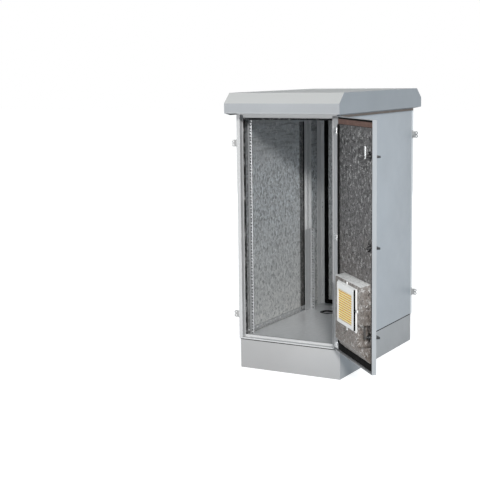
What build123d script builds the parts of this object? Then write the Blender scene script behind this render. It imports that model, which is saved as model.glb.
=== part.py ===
from build123d import *
import math
import os

# Roadside cabinet for 19-inch equipment, with a plinth, a ventilated hood and one hinged door.
# Millimetres. X runs across the front, Y from front to back, Z up. The origin is the centre of
# the plinth's footprint on the ground. The door is modelled standing open, as it is shown.

# Body
body_width = 553.0
body_depth = 922.0
body_height = 1130.0
frame_sheet = 2.0
panel_sheet = 1.5
joint_gap = 1.5
small_sides = 8
round_sides = 16

# Plinth
plinth_height = 148.0
plinth_inset = 4.5
cover_sheet = 2.0
cover_flange = 20.0
foot_size = 70.0
foot_plate = 5.0
foot_wall = 4.0
anchor_hole = 14.0
body_bolt_hole = 11.0

# Corner posts and the frame round the door opening
post_face = 18.5
post_web = 8.0
rear_web = 19.0
post_flange = 17.5
rear_flange = 42.5
panel_fold = 14.0
rear_rebate = 16.0
rear_panel_gap = 4.0
post_hole = 8.0
post_hole_pitch = 502.0
sill_height = 7.0
sill_lip = 11.5
head_web = 18.0

# Screws of the rear panel
rear_screw_pitch = 440.0
rear_screw_shift = 25.0
screw_clear = 7.0
screw_shank = 6.0
screw_head = 14.0
screw_head_height = 4.0

# Floor
floor_level = 10.5
floor_sheet = 2.0
rear_sill_depth = 65.0
rear_sill_height = 12.0
cable_slot_length = 300.0
cable_slot_width = 50.0
cable_hole = 75.0
cable_hole_side = 119.0
cable_hole_setback = 145.0
grommet_rim = 6.0
grommet_lip = 3.0

# Hood
hood_height = 98.0
hood_lap = 12.0
fascia_height = 49.0
hood_side = 28.0
hood_front = 68.0
hood_rear = 42.0
front_slope = 52.0
rear_slope = 63.0
hood_bend = 3.0
soffit_drop = 7.5
soffit_setback = 6.0
soffit_gap = 0.5
spacer_diameter = 24.0
spacer_bore = 11.0
spacer_x = 180.0
spacer_y = 300.0
deck_edge = 15.0
deck_slot_length = 60.0
deck_slot_width = 6.0
deck_slots = 6
deck_slot_pitch = 80.0

# Linings and seals
liner = 10.0
liner_room = 1.5
liner_break_margin = 48.0
liner_bridge = 80.0
rear_liner = 18.5
rear_liner_margin = 43.0
rear_liner_bottom = 34.0
rear_liner_top = 60.0
seal_width = 9.0
seal_grip = 2.0
seal_front = 6.6
seal_root = 1.8
seal_back = 4.0
soft_gap = 0.1

# Equipment rails, to the 19-inch pattern
rail_unit = 44.45
rail_hole = 9.5
rail_hole_edge = 14.45
rail_standoff = 15.5
rail_face = 23.0
rail_sheet = 2.0
rail_setback = 56.0
rail_web = 38.0
rail_top = 50.0
rear_rail_setback = 178.0
rear_rail_web = 71.0
rear_rail_height = 450.0
strut_setback = 217.0
strut_width = 55.0
strut_hole = 7.5
strut_hole_edge = 12.0
depth_rail_height = 20.0
depth_rail_rise = 6.5
depth_slot = 14.0
depth_slot_pitch = 50.0

# Side lugs
lug_reach = 31.0
lug_height = 33.0
lug_plate = 4.0
lug_base = 14.0
lug_base_plate = 3.0
lug_low_height = 270.0
lug_high_height = 1120.0

# Door, described in its own frame: u from the hinge axis to the latch edge, z up, and depth
# from the outer face towards the cabinet's inside when the door is shut
door_open = 134.4
door_gap = 2.5
door_depth = 20.0
door_clear = 2.0
door_sheet = 1.5
head_gap = 2.0
door_ring = 10.0
pad_hinge_side = 81.0
pad_latch_side = 20.75
pad_bottom = 42.5
strip_height = 24.0
stiffener_width = 55.0

# Hinges
hinge_height = 50.0
hinge_low_rise = 28.6
hinge_middle_drop = 10.9
hinge_high_drop = 68.2
knuckle = 9.0
pin = 5.0
running_gap = 0.05
hinge_leaf = 2.0
post_leaf = 1.2
leaf_depth = 13.0
knuckle_room = 0.7
knuckle_gap = 0.3

# Locks
lock_edge = 48.25
lock_span = 786.0
lock_flange = 32.0
lock_flange_thickness = 4.0
lock_barrel = 22.0
lock_spindle = 10.0
lock_nut = 30.0
lock_nut_thickness = 7.0
lock_barrel_length = 20.0
lock_room = 36.0
cam_depth = 33.0
cam_thickness = 3.2
cam_width = 18.0
cam_reach = 47.0
cam_stud = 6.0
wing_disc = 26.0
wing_disc_thickness = 4.0
wing_length = 52.0
wing_width = 9.0
wing_height = 22.0

# Filter box on the inside of the door, and the vent slot that feeds it
box_hinge_side = 153.0
box_width = 323.0
box_height = 349.0
box_depth = 58.5
box_bottom_slope = 51.0
box_top_slope = 9.0
box_sheet = 1.5
pocket_width = 36.0
pocket_above = 55.0
pocket_below = 45.0
vent_width = 240.0
vent_height = 85.0
vent_bottom = 77.5
vent_setback = 12.0
vent_reach = 40.0
vent_rise = 48.0
base_hinge_side = 192.75
base_drop = 23.0
base_width = 246.0
base_height = 195.0
base_thickness = 2.5
base_rim = 5.0
cover_inset = 7.5
cover_rise = 5.5
cover_width = 217.0
cover_height = 184.0
cover_thickness = 8.0
window_inset = 17.0
window_rise = 17.0
window_width = 176.0
window_height = 138.0
slats = 13
slat_length = 4.0
slat_thickness = 1.6
slat_tilt = 35.0
mat_thickness = 6.0
mat_border = 2.0
clip_width = 12.0
clip_length = 16.0
clip_grip = 4.0
clip_thickness = 2.0

# Levels and faces that the pieces share
side_x = body_width / 2
front_y = -body_depth / 2
body_bottom = plinth_height
body_top = plinth_height + body_height
deck_level = body_top - panel_sheet
hood_bottom = body_top - hood_lap
hood_top = hood_bottom + hood_height
opening_x = side_x - post_face
rebate = door_depth + door_clear
front_web_y = front_y + rebate
web_edge = opening_x - post_web
flange_x = side_x - panel_fold
panel_y = body_depth / 2 - post_face
sill_top = body_bottom + sill_height
lip_top = sill_top + sill_lip
floor_top = body_bottom + floor_level
door_bottom = sill_top + door_gap
door_top = body_top - post_face - door_gap
door_height = door_top - door_bottom
head_underside = door_top + head_gap
head_bottom = head_underside - head_web
door_middle = (door_bottom + door_top) / 2
rear_web_y = body_depth / 2 - rear_rebate
liner_x = side_x - panel_sheet
rail_x = flange_x - rail_standoff
rail_inner = rail_x - rail_face
rear_rail_y = -front_y - rear_rail_setback
strut_y = -front_y - strut_setback
liner_break = strut_y - liner_break_margin
hinge_levels = [
    door_bottom + hinge_low_rise,
    door_middle - hinge_middle_drop,
    door_top - hinge_high_drop,
]
lock_levels = [door_middle + step * lock_span / 2 for step in (-1, 0, 1)]
hinge_x = opening_x - door_gap / 2
knuckle_clear = knuckle / 2 + knuckle_room
pad_depth = rebate - seal_front - soft_gap - door_sheet

os.makedirs("parts", exist_ok=True)


def finish(name, label):
    name.part.label = label
    export_step(name.part, f"parts/{label}.step")


def folded(points, sheet, side):
    # The outline of a strip that follows the points, with its thickness on the named side
    with BuildLine() as fold:
        Polyline(*points)
        offset(amount=sheet, side=side, kind=Kind.INTERSECTION)
    return fold.edges()


# Plinth: four corner feet that bolt to the ground, and four covers between them
plinth_x = side_x - plinth_inset
plinth_y = body_depth / 2 - plinth_inset
foot_x = plinth_x - cover_sheet
foot_y = plinth_y - cover_sheet
foot_centres = GridLocations(2 * foot_x - foot_size, 2 * foot_y - foot_size, 2, 2)

with BuildSketch(mode=Mode.PRIVATE) as foot_squares:
    with foot_centres:
        Rectangle(foot_size, foot_size)

with BuildPart() as plinth_feet:
    with BuildSketch():
        Rectangle(2 * foot_x, 2 * foot_y)
        offset(amount=-foot_wall, kind=Kind.INTERSECTION, mode=Mode.SUBTRACT)
        add(foot_squares.sketch, mode=Mode.INTERSECT)
    extrude(amount=plinth_height)
    with BuildSketch():
        add(foot_squares.sketch)
        with foot_centres:
            Circle(anchor_hole / 2, mode=Mode.SUBTRACT)
    extrude(amount=foot_plate)
    with BuildSketch(Plane.XY.offset(plinth_height - foot_plate)):
        add(foot_squares.sketch)
        with foot_centres:
            RegularPolygon(body_bolt_hole / 2, small_sides, mode=Mode.SUBTRACT)
    extrude(amount=foot_plate)
finish(plinth_feet, "plinth_feet")


def plinth_cover(face, length, flange_length):
    # The face plane looks outwards and its origin is the middle of the cover's bottom edge
    with BuildPart() as cover:
        with BuildSketch(face):
            with Locations((0, plinth_height / 2)):
                Rectangle(length, plinth_height)
        extrude(amount=-cover_sheet)
        with BuildSketch(face.offset(-cover_sheet)):
            with Locations((0, cover_sheet / 2), (0, plinth_height - cover_sheet / 2)):
                Rectangle(flange_length, cover_sheet)
        extrude(amount=-cover_flange)
    return cover


cross_flange = 2 * (foot_x - foot_size - joint_gap)
long_flange = 2 * (foot_y - foot_size - joint_gap)
covers = {
    "plinth_front": (Plane((0, -plinth_y, 0), x_dir=(1, 0, 0), z_dir=(0, -1, 0)), 2 * plinth_x, cross_flange),
    "plinth_rear": (Plane((0, plinth_y, 0), x_dir=(-1, 0, 0), z_dir=(0, 1, 0)), 2 * plinth_x, cross_flange),
    "plinth_left": (Plane((-plinth_x, 0, 0), x_dir=(0, -1, 0), z_dir=(-1, 0, 0)), 2 * foot_y, long_flange),
    "plinth_right": (Plane((plinth_x, 0, 0), x_dir=(0, 1, 0), z_dir=(1, 0, 0)), 2 * foot_y, long_flange),
}
for label, (face, length, flange_length) in covers.items():
    finish(plinth_cover(face, length, flange_length), label)


# Screws that hold the rear panel to the rear posts
rear_screw_x = opening_x - rear_web / 2
rear_screw_levels = [door_middle + rear_screw_shift + step * rear_screw_pitch for step in (-1, 0, 1)]


# Corner posts: one folded strip each, from the web behind the door or rear panel, round the
# visible face and the corner, to the flange that carries the side panel
def corner_post(x_way, y_way, depth, web, flange):
    web_y = body_depth / 2 - depth
    step_y = panel_y
    path = [
        (opening_x, web_y),
        (opening_x, body_depth / 2),
        (side_x, body_depth / 2),
        (side_x, step_y),
        (flange_x, step_y),
        (flange_x, step_y - flange),
    ]
    side = Side.LEFT if x_way * y_way < 0 else Side.RIGHT
    with BuildPart() as post:
        with BuildSketch(Plane.XY.offset(body_bottom)):
            make_face(folded([(x_way * x, y_way * y) for x, y in path], frame_sheet, side))
        extrude(amount=deck_level - body_bottom)
        with BuildSketch(Plane.XY.offset(sill_top)):
            with Locations((x_way * (opening_x - web / 2 + frame_sheet / 2), y_way * (web_y - frame_sheet / 2))):
                Rectangle(web + frame_sheet, frame_sheet)
        extrude(amount=head_underside - sill_top)
        if y_way > 0:
            for step in (-1, 0, 1):
                level = door_middle + step * post_hole_pitch
                with BuildSketch(Plane.XZ.offset(-web_y)):
                    with Locations((x_way * (opening_x - web / 2 + frame_sheet), level)):
                        RegularPolygon(post_hole / 2, small_sides)
                extrude(amount=2 * frame_sheet, both=True, mode=Mode.SUBTRACT)
            with BuildSketch(Plane.XZ.offset(-web_y)):
                with Locations(*[(x_way * rear_screw_x, level) for level in rear_screw_levels]):
                    RegularPolygon(screw_clear / 2, small_sides)
            extrude(amount=2 * frame_sheet, both=True, mode=Mode.SUBTRACT)
            for step in (-1, 0, 1):
                level = door_middle + step * post_hole_pitch
                with BuildSketch(Plane.YZ.offset(x_way * flange_x)):
                    with Locations((step_y - flange / 2, level)):
                        RegularPolygon(post_hole / 2, small_sides)
                extrude(amount=2 * frame_sheet, both=True, mode=Mode.SUBTRACT)
        if y_way < 0 and x_way > 0:
            for level in hinge_levels:
                with BuildSketch(Plane.XY.offset(level)):
                    with Locations((hinge_x, front_y)):
                        Rectangle(2 * knuckle_clear, 2 * knuckle_clear)
                extrude(amount=hinge_height / 2 + knuckle_room, both=True, mode=Mode.SUBTRACT)
    return post


finish(corner_post(-1, -1, rebate, post_web, post_flange), "post_front_left")
finish(corner_post(1, -1, rebate, post_web, post_flange), "post_front_right")
finish(corner_post(-1, 1, rear_rebate, rear_web, rear_flange), "post_rear_left")
finish(corner_post(1, 1, rear_rebate, rear_web, rear_flange), "post_rear_right")


# Cross members: the face runs between the posts' returns, the web between their webs
def cross_member(label, face_path, web_path, side, web_half):
    with BuildPart() as member:
        for path, half in ((face_path, opening_x), (web_path, web_half)):
            with BuildSketch(Plane.YZ.offset(-half)):
                make_face(folded(path, frame_sheet, side))
            extrude(amount=2 * half)
    finish(member, label)


cross_member(
    "front_sill",
    [(front_y, body_bottom), (front_y, sill_top), (front_web_y + frame_sheet, sill_top)],
    [(front_web_y, sill_top - frame_sheet), (front_web_y, lip_top), (front_web_y + post_face, lip_top)],
    Side.RIGHT,
    web_edge,
)
cross_member(
    "front_head",
    [
        (front_web_y + frame_sheet, head_underside),
        (front_y, head_underside),
        (front_y, deck_level),
        (front_y + post_face, deck_level),
    ],
    [(front_web_y, head_bottom), (front_web_y, head_underside + frame_sheet)],
    Side.RIGHT,
    web_edge,
)
cross_member(
    "rear_head",
    [
        (rear_web_y - frame_sheet, head_underside),
        (-front_y, head_underside),
        (-front_y, deck_level),
        (-front_y - post_face, deck_level),
    ],
    [(rear_web_y, head_bottom), (rear_web_y, head_underside + frame_sheet)],
    Side.LEFT,
    opening_x - rear_web,
)

# Rear sill: a flat tube along the back of the floor, with a lip under the rear panel
rear_sill_front = rear_web_y - rear_sill_depth
with BuildPart() as rear_sill:
    with BuildSketch(Plane.YZ.offset(-opening_x)):
        with BuildLine():
            Polyline(
                (rear_sill_front, body_bottom),
                (-front_y, body_bottom),
                (-front_y, sill_top),
                (rear_web_y - frame_sheet, sill_top),
                (rear_web_y - frame_sheet, body_bottom + rear_sill_height),
                (rear_sill_front, body_bottom + rear_sill_height),
                close=True,
            )
        make_face()
        offset(amount=-frame_sheet, kind=Kind.INTERSECTION, mode=Mode.SUBTRACT)
    extrude(amount=2 * opening_x)
finish(rear_sill, "rear_sill")

# Floor: a tray with its long edges folded down on the plinth, a round cable entry and a slot
floor_front = front_web_y + frame_sheet
floor_length = rear_sill_front - floor_front
cable_hole_x = -cable_hole_side
cable_hole_y = rear_sill_front - cable_hole_setback
with BuildPart() as floor_plate:
    with BuildSketch(Plane.XZ.offset(-floor_front)):
        tray = [(-opening_x, body_bottom), (-opening_x, floor_top)]
        tray += [(-x, z) for x, z in reversed(tray)]
        make_face(folded(tray, floor_sheet, Side.RIGHT))
    extrude(amount=-floor_length)
    with BuildSketch(Plane.XY.offset(floor_top)):
        with Locations((cable_hole_x, cable_hole_y)):
            RegularPolygon(cable_hole / 2, 2 * round_sides)
        with Locations((0, rear_sill_front - cable_slot_width / 2 - joint_gap)):
            Rectangle(cable_slot_length, cable_slot_width)
    extrude(amount=-floor_sheet, mode=Mode.SUBTRACT)
finish(floor_plate, "floor_plate")

with BuildPart() as cable_grommet:
    grommet_bottom = floor_top - floor_sheet - grommet_lip
    with BuildSketch(Plane.XY.offset(grommet_bottom)):
        with Locations((cable_hole_x, cable_hole_y)):
            RegularPolygon(cable_hole / 2 + grommet_rim, 2 * round_sides)
            Circle(cable_hole / 2 - grommet_rim, mode=Mode.SUBTRACT)
    extrude(amount=2 * grommet_lip + floor_sheet)
    with BuildSketch(Plane.XY.offset(floor_top - floor_sheet)):
        with Locations((cable_hole_x, cable_hole_y)):
            RegularPolygon(cable_hole / 2 + grommet_rim, 2 * round_sides)
            RegularPolygon(cable_hole / 2, 2 * round_sides, mode=Mode.SUBTRACT)
    extrude(amount=floor_sheet, mode=Mode.SUBTRACT)
finish(cable_grommet, "cable_grommet")


# Side panels: shallow trays, open towards the inside, set between the posts
panel_bottom = body_bottom + joint_gap
panel_height = deck_level - joint_gap - panel_bottom


def side_panel(way):
    outer = Plane((way * side_x, 0, panel_bottom), x_dir=(0, way, 0), z_dir=(way, 0, 0))
    with BuildPart() as panel:
        with BuildSketch(outer):
            with Locations((0, panel_height / 2)):
                Rectangle(2 * (panel_y - joint_gap), panel_height)
        extrude(amount=-panel_fold)
        inner_face = panel.faces().sort_by(Axis.X)[0 if way > 0 else -1]
        offset(amount=-panel_sheet, openings=inner_face, kind=Kind.INTERSECTION)
    return panel


finish(side_panel(-1), "side_panel_left")
finish(side_panel(1), "side_panel_right")

# Rear panel: a tray with its edges towards the front, screwed to the rear posts' webs
rear_panel_width = 2 * (opening_x - door_gap)
rear_fold = rear_rebate - rear_panel_gap
rear_screws_at = [(way * rear_screw_x, level) for way in (-1, 1) for level in rear_screw_levels]
rear_plane = Plane((0, -front_y, 0), x_dir=(1, 0, 0), z_dir=(0, -1, 0))

with BuildPart() as rear_panel:
    with BuildSketch(rear_plane):
        with Locations((0, door_middle)):
            Rectangle(rear_panel_width, door_height)
    extrude(amount=rear_fold)
    offset(
        amount=-panel_sheet,
        openings=rear_panel.faces().sort_by(Axis.Y)[0],
        kind=Kind.INTERSECTION,
    )
    with BuildSketch(rear_plane):
        with Locations(*rear_screws_at):
            RegularPolygon(screw_clear / 2, small_sides)
    extrude(amount=panel_sheet, mode=Mode.SUBTRACT)
finish(rear_panel, "rear_panel")

rear_liner_half = opening_x - rear_liner_margin
rear_liner_low = body_bottom + rear_liner_bottom
rear_liner_high = body_top - rear_liner_top
with BuildPart() as rear_liner_pad:
    with BuildSketch(rear_plane.offset(panel_sheet)):
        with Locations((0, (rear_liner_low + rear_liner_high) / 2)):
            Rectangle(2 * (rear_liner_half - joint_gap), rear_liner_high - rear_liner_low - 2 * joint_gap)
    extrude(amount=rear_liner)
finish(rear_liner_pad, "rear_liner")

# Seal round the rear panel, squeezed between its face and the rear posts' webs
gasket_half = opening_x - rear_web + seal_grip
gasket_low = body_bottom + rear_sill_height
gasket_high = head_bottom + seal_grip
with BuildPart() as rear_gasket:
    with BuildSketch(rear_plane.offset(panel_sheet)):
        with Locations((0, (gasket_low + gasket_high) / 2)):
            Rectangle(2 * gasket_half, gasket_high - gasket_low)
        with Locations((0, (rear_liner_low + rear_liner_high) / 2)):
            Rectangle(2 * rear_liner_half, rear_liner_high - rear_liner_low, mode=Mode.SUBTRACT)
    extrude(amount=rear_rebate - panel_sheet)
finish(rear_gasket, "rear_gasket")

with BuildPart() as rear_screws:
    with BuildSketch(rear_plane.offset(-screw_head_height)):
        with Locations(*rear_screws_at):
            RegularPolygon(screw_head / 2, small_sides)
    extrude(amount=screw_head_height)
    with BuildSketch(rear_plane):
        with Locations(*rear_screws_at):
            RegularPolygon(screw_shank / 2, small_sides)
    extrude(amount=rear_rebate + 3 * frame_sheet)
finish(rear_screws, "rear_screws")

# Wall linings: a pad inside each side panel, slotted from its lower edge behind the strut
liner_low = panel_bottom + panel_sheet + liner_room
liner_high = panel_bottom + panel_height - panel_sheet - liner_room
liner_end = panel_y - joint_gap - panel_sheet - liner_room
for way, hand in ((-1, "left"), (1, "right")):
    with BuildPart() as wall_liner:
        with BuildSketch(Plane.YZ.offset(way * liner_x)):
            with Locations((0, (liner_low + liner_high) / 2)):
                Rectangle(2 * liner_end, liner_high - liner_low)
            with Locations((liner_break, liner_low)):
                slot_height = liner_high - liner_bridge - liner_low
                Rectangle(
                    strut_y + strut_width - liner_break,
                    slot_height,
                    align=(Align.MIN, Align.MIN),
                    mode=Mode.SUBTRACT,
                )
        extrude(amount=-way * liner)
    finish(wall_liner, f"liner_{hand}")

# Roof deck: a tray with its edges turned up inside the hood, slotted for the warm air
spacers_at = GridLocations(2 * spacer_x, 2 * spacer_y, 2, 2)
with BuildPart() as roof_deck:
    with BuildSketch(Plane.XY.offset(deck_level)):
        Rectangle(body_width, body_depth)
    extrude(amount=deck_edge)
    offset(
        amount=-panel_sheet,
        openings=roof_deck.faces().sort_by(Axis.Z)[-1],
        kind=Kind.INTERSECTION,
    )
    with BuildSketch(Plane.XY.offset(deck_level)):
        with spacers_at:
            RegularPolygon(spacer_bore / 2, small_sides)
        with GridLocations(2 * spacer_x / 3, deck_slot_pitch, 2, deck_slots):
            Rectangle(deck_slot_length, deck_slot_width)
    extrude(amount=panel_sheet, mode=Mode.SUBTRACT)
finish(roof_deck, "roof_deck")

with BuildPart() as roof_spacers:
    with BuildSketch(Plane.XY.offset(body_top)):
        with spacers_at:
            RegularPolygon(spacer_diameter / 2, small_sides)
            RegularPolygon(spacer_bore / 2, small_sides, mode=Mode.SUBTRACT)
    extrude(amount=hood_top - panel_sheet - body_top)
finish(roof_spacers, "roof_spacers")

# Hood: a folded cover with a fascia and a slope at the front and the rear. Its soffits close the
# overhang at the sides and the rear, and the front is left open for the air
hood_x = side_x + hood_side
hood_front_y = front_y - hood_front
hood_rear_y = -front_y + hood_rear
crease = hood_bottom + fascia_height
with BuildPart() as roof_hood:
    with BuildSketch(Plane.YZ.offset(-hood_x)):
        with BuildLine():
            Polyline(
                (hood_front_y, hood_bottom),
                (hood_front_y, crease),
                (hood_front_y + front_slope, hood_top),
                (hood_rear_y - rear_slope, hood_top),
                (hood_rear_y, crease),
                (hood_rear_y, hood_bottom),
                close=True,
            )
        make_face()
    extrude(amount=2 * hood_x)
    bends = roof_hood.edges().filter_by(Axis.X).group_by(Axis.Z)[1:]
    fillet([edge for group in bends for edge in group], radius=hood_bend)
    offset(
        amount=-panel_sheet,
        openings=roof_hood.faces().sort_by(Axis.Z)[0],
        kind=Kind.INTERSECTION,
    )
    soffit_start = hood_front_y + soffit_setback
    soffit_x = side_x + soffit_gap
    soffit_y = -front_y + soffit_gap
    with BuildPart(mode=Mode.PRIVATE) as soffit:
        for reach in (0.0, 1.3):
            half = hood_x - reach * (hood_x - soffit_x)
            end = hood_rear_y - reach * (hood_rear_y - soffit_y)
            with BuildSketch(Plane.XY.offset(hood_bottom - reach * soffit_drop)):
                with Locations((0, (soffit_start + end) / 2)):
                    Rectangle(2 * half, end - soffit_start)
        loft()
        flat_ends = soffit.faces().filter_by(Axis.Z) + soffit.faces().sort_by(Axis.Y)[:1]
        offset(amount=-panel_sheet, openings=flat_ends, kind=Kind.INTERSECTION)
    add(soffit.part)
    with BuildSketch(Plane.XY.offset(hood_bottom - 2 * soffit_drop)):
        with Locations((0, (soffit_start + soffit_y) / 2)):
            Rectangle(2 * soffit_x, soffit_y - soffit_start)
    extrude(amount=3 * soffit_drop, mode=Mode.SUBTRACT)
finish(roof_hood, "roof_hood")

# Seal on the edges of the door opening: it clips over the webs and stands clear of the swing
# of the door's hinge edge
seal_section = [
    (-seal_grip, -seal_root),
    (seal_width / 2 - seal_grip, -(seal_root + seal_front) / 2 + soft_gap * 6),
    (seal_width - seal_grip, -seal_front),
    (seal_width - seal_grip, frame_sheet + seal_back),
    (-seal_grip, frame_sheet + seal_back),
]
with BuildPart() as frame_seal:
    for way in (-1, 1):
        with BuildSketch(Plane.XY.offset(lip_top + joint_gap)):
            with BuildLine():
                Polyline(*[(way * (web_edge - s), front_web_y + y) for s, y in seal_section], close=True)
            make_face()
        extrude(amount=head_bottom + seal_grip - lip_top - joint_gap)
    head_seal_half = web_edge + seal_grip - seal_width
    with BuildSketch(Plane.YZ.offset(-head_seal_half)):
        with BuildLine():
            Polyline(*[(front_web_y + y, head_bottom - s) for s, y in seal_section], close=True)
        make_face()
    extrude(amount=2 * head_seal_half)
    with BuildSketch(Plane.XZ.offset(-front_web_y + soft_gap)):
        with Locations((0, door_middle)):
            Rectangle(body_width, body_height)
        with Locations((0, (head_bottom - soft_gap) / 2)):
            Rectangle(2 * (web_edge - soft_gap), head_bottom - soft_gap, mode=Mode.SUBTRACT)
    extrude(amount=-frame_sheet - 2 * soft_gap, mode=Mode.SUBTRACT)
finish(frame_seal, "frame_seal")

# Equipment rails: the hole pattern repeats in every rack unit at 1/6, 1/2 and 5/6 of its height
rail_floor = floor_top
rail_high = body_top - rail_top


def unit_holes(low, high):
    units = int((high - low) / rail_unit)
    start = low + (high - low - units * rail_unit) / 2
    return [start + rail_unit * (step + 1 / 2 + third) for step in range(units) for third in (-0.357, 0, 0.357)]


def equipment_rail(path, side, face_y, low, high, way):
    with BuildPart() as rail:
        with BuildSketch(Plane.XY.offset(low)):
            make_face(folded([(way * x, y) for x, y in path], rail_sheet, side))
        extrude(amount=high - low)
        with BuildSketch(Plane.XZ.offset(-face_y)):
            with Locations(*[(way * (rail_x - rail_hole_edge), z) for z in unit_holes(low, high)]):
                Rectangle(rail_hole, rail_hole)
        extrude(amount=-rail_sheet, mode=Mode.SUBTRACT)
    return rail


front_rail_y = front_y + rail_setback
front_rail_path = [
    (rail_inner, front_rail_y),
    (rail_x, front_rail_y),
    (rail_x, front_rail_y + rail_web),
    (flange_x, front_rail_y + rail_web),
]
rear_rail_back = rear_rail_y + rail_sheet
rear_rail_path = [
    (rail_inner, rear_rail_back),
    (rail_x, rear_rail_back),
    (rail_x, rear_rail_back - rear_rail_web),
]
strut_path = [
    (rail_x, strut_y),
    (flange_x, strut_y),
    (flange_x, strut_y + strut_width),
    (rail_x, strut_y + strut_width),
]
for way, hand in ((-1, "left"), (1, "right")):
    side = Side.LEFT if way > 0 else Side.RIGHT
    other = Side.RIGHT if way > 0 else Side.LEFT
    front_rail = equipment_rail(front_rail_path, side, front_rail_y, rail_floor, rail_high, way)
    finish(front_rail, f"rail_front_{hand}")
    rear_rail_top = rail_floor + rear_rail_height
    rear_rail = equipment_rail(rear_rail_path, other, rear_rail_y, rail_floor, rear_rail_top, way)
    finish(rear_rail, f"rail_rear_{hand}")

    with BuildPart() as strut:
        with BuildSketch(Plane.XY.offset(rail_floor)):
            make_face(folded([(way * x, y) for x, y in strut_path], rail_sheet, side))
        extrude(amount=deck_level - rail_floor)
        strut_holes = int((deck_level - rail_floor) / (rail_unit / 2)) - 1
        hole_y = strut_y + strut_width - strut_hole_edge
        with BuildSketch(Plane.YZ.offset(way * flange_x)):
            with Locations((hole_y, (rail_floor + deck_level) / 2)):
                with GridLocations(0, rail_unit / 2, 1, strut_holes):
                    Rectangle(strut_hole, strut_hole)
        extrude(amount=-way * rail_sheet, mode=Mode.SUBTRACT)
    finish(strut, f"strut_{hand}")

    # Depth rails: flat slotted bars that join the posts' flanges and carry rails and struts
    bar_low = rail_floor + depth_rail_rise
    bar_high = rail_high - joint_gap - depth_rail_height
    for level, height_name in ((bar_low, "low"), (bar_high, "high")):
        with BuildPart() as depth_rail:
            with BuildSketch(Plane.YZ.offset(way * flange_x)):
                with Locations((0, level + depth_rail_height / 2)):
                    Rectangle(2 * liner_end, depth_rail_height)
                    with GridLocations(depth_slot_pitch, 0, int(2 * liner_end / depth_slot_pitch), 1):
                        Rectangle(depth_slot, rail_hole, mode=Mode.SUBTRACT)
            extrude(amount=way * rail_sheet)
        finish(depth_rail, f"depth_rail_{hand}_{height_name}")

# Side lugs: a base on the post and a lobed plate with two eyes
lug_lobe = lug_height / 4
lug_y = body_depth / 2 - post_face / 2
for way, hand in ((-1, "left"), (1, "right")):
    with BuildPart() as lugs:
        for y in (-lug_y, lug_y):
            for z in (lug_low_height, lug_high_height):
                with BuildSketch(Plane.YZ.offset(way * side_x)):
                    with Locations((y, z)):
                        Rectangle(lug_base, lug_height + lug_lobe)
                extrude(amount=way * lug_base_plate)
                with BuildSketch(Plane.XZ.offset(-y)):
                    with Locations((way * (side_x + (lug_reach - lug_lobe) / 2), z)):
                        Rectangle(lug_reach - lug_lobe, lug_height)
                    with Locations((way * (side_x + lug_reach - lug_lobe), z)):
                        with GridLocations(0, lug_height / 2, 1, 2):
                            RegularPolygon(lug_lobe, small_sides, major_radius=False, rotation=22.5)
                            RegularPolygon(lug_lobe / 2, small_sides, mode=Mode.SUBTRACT)
                extrude(amount=lug_plate / 2, both=True)
    finish(lugs, f"lugs_{hand}")

# Door frame of reference: on these planes x is u, y is height, and depth goes inwards
swing = math.radians(door_open)
leaf_way = (-math.cos(swing), -math.sin(swing), 0)
inward = (-math.sin(swing), math.cos(swing), 0)
door_face = Plane((hinge_x, front_y, 0), x_dir=leaf_way, z_dir=inward)
door_width = 2 * (opening_x - door_gap)
door_start = door_gap / 2
door_end = door_start + door_width
corner = (Align.MIN, Align.MIN)


def door_plan(level):
    # Seen from below: x is u and y is depth
    return Plane((hinge_x, front_y, level), x_dir=leaf_way, z_dir=(0, 0, -1))


def door_side(u):
    # Seen from the hinge: x is depth and y is height, and a negative extrusion adds to u
    back = (-leaf_way[0], -leaf_way[1], 0)
    return Plane((hinge_x + u * leaf_way[0], front_y + u * leaf_way[1], 0), x_dir=inward, z_dir=back)


# Filter box and vent positions in the door's frame
pad_start = door_start + pad_hinge_side
pad_end = door_end - pad_latch_side
pad_low = door_bottom + pad_bottom
strip_high = door_top - door_ring
pad_high = strip_high - strip_height
lock_u = door_end - lock_edge
box_start = door_start + box_hinge_side
box_end = box_start + box_width
box_high = pad_low + box_height
box_front = door_sheet + box_depth
pocket_u = box_end - pocket_width
pocket_low = lock_levels[0] - pocket_below
pocket_high = lock_levels[0] + pocket_above
vent_u = (box_start + pocket_u) / 2
vent_low = door_bottom + vent_bottom
box_outline = [
    (box_start, pad_low),
    (box_end, pad_low),
    (box_end, pocket_low),
    (pocket_u, pocket_low),
    (pocket_u, pocket_high),
    (box_end, pocket_high),
    (box_end, box_high),
    (box_start, box_high),
]
locks_at = [(lock_u, level) for level in lock_levels]

# Door: a pressed tray with a vent slot, lock holes and a notch round each hinge
with BuildPart() as door_pan:
    with BuildSketch(door_face):
        with Locations((door_start, door_bottom)):
            Rectangle(door_width, door_height, align=corner)
    extrude(amount=door_depth)
    offset(
        amount=-door_sheet,
        openings=door_pan.faces().sort_by(Axis(door_face.origin, door_face.z_dir))[-1],
        kind=Kind.INTERSECTION,
    )
    with BuildSketch(door_face):
        with Locations((vent_u, vent_low + vent_height / 2)):
            Rectangle(vent_width, vent_height)
        with Locations(*locks_at):
            RegularPolygon(lock_barrel / 2 + soft_gap, round_sides)
    extrude(amount=door_sheet, mode=Mode.SUBTRACT)
    for level in hinge_levels:
        with BuildSketch(door_plan(level)):
            Rectangle(2 * knuckle_clear, 2 * knuckle_clear)
        extrude(amount=hinge_height / 2 + knuckle_room, both=True, mode=Mode.SUBTRACT)
finish(door_pan, "door_pan")

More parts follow.
